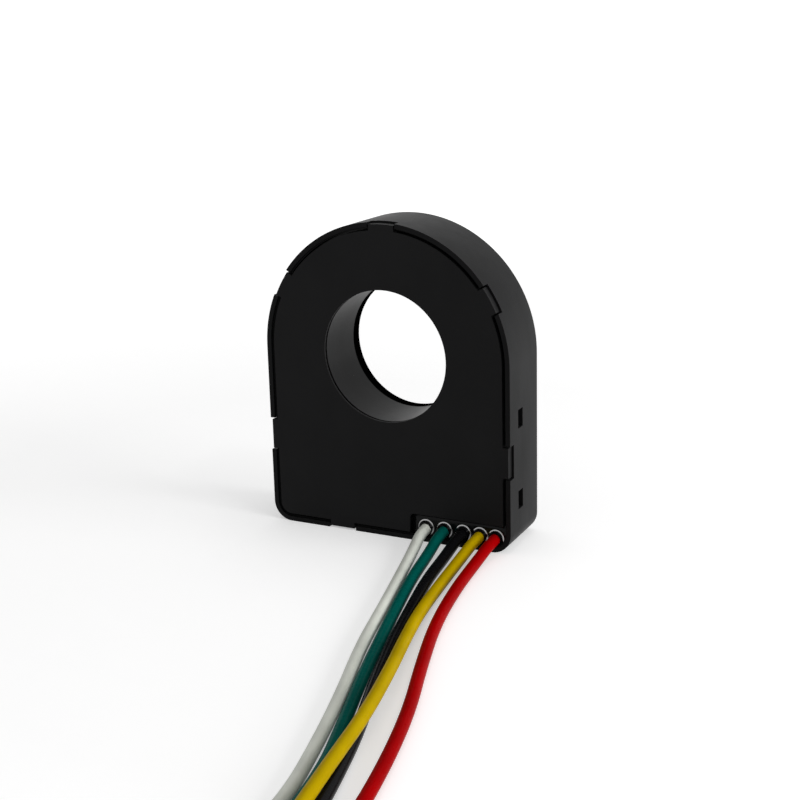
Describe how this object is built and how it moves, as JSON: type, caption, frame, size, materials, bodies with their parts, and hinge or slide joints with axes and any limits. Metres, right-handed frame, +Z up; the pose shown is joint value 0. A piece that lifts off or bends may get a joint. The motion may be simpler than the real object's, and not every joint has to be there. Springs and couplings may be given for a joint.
{
  "type": "residual current sensor",
  "caption": "Flat black D-shaped potted sensor module with a round through aperture and coloured flying leads from its lower front corner.",
  "frame": {"origin": "on the resting plane, under the middle of the module", "axes": "+X to the right of someone who faces the cover, +Y from the cover to the back along the aperture, +Z up"},
  "size_m": [0.0634, 0.1597, 0.048],
  "materials": {
    "case_plastic": "fine satin moulded",
    "cover_plastic": "fine matte moulded",
    "potting_resin": "cast, glossy where it shows",
    "core_alloy": "wound ribbon",
    "core_box_plastic": "moulded",
    "enamelled_copper": "enamel over copper",
    "tape": "smooth film",
    "test_wire": "smooth",
    "board_laminate": "solder mask",
    "package_resin": "moulded",
    "chip_ceramic_dark": "glazed",
    "chip_ceramic_tan": "fired",
    "solder": "bright",
    "tinned_strand": "tinned",
    "white_insulation": "extruded",
    "green_insulation": "extruded",
    "black_insulation": "extruded",
    "yellow_insulation": "extruded",
    "red_insulation": "extruded"
  },
  "bodies": {
    "root": {"case_shell": "case_plastic", "front_cover": "cover_plastic", "magnetic_core": "core_alloy", "core_box": "core_box_plastic", "core_box_lid": "core_box_plastic", "sense_winding": "enamelled_copper", "insulating_tape": "tape", "test_winding": "test_wire", "circuit_board": "board_laminate", "microcontroller": "package_resin", "bridge_driver": "package_resin", "sense_amplifier": "package_resin", "voltage_regulator": "package_resin", "output_transistor": "package_resin", "protection_diode": "package_resin", "chip_resistors": "chip_ceramic_dark", "chip_capacitors": "chip_ceramic_tan", "lead_core_ends": "solder", "potting_compound": "potting_resin", "lead_white": "white_insulation", "tinned_end_white": "tinned_strand", "lead_green": "green_insulation", "tinned_end_green": "tinned_strand", "lead_black": "black_insulation", "tinned_end_black": "tinned_strand", "lead_yellow": "yellow_insulation", "tinned_end_yellow": "tinned_strand", "lead_red": "red_insulation", "tinned_end_red": "tinned_strand"}
  },
  "joints": []
}
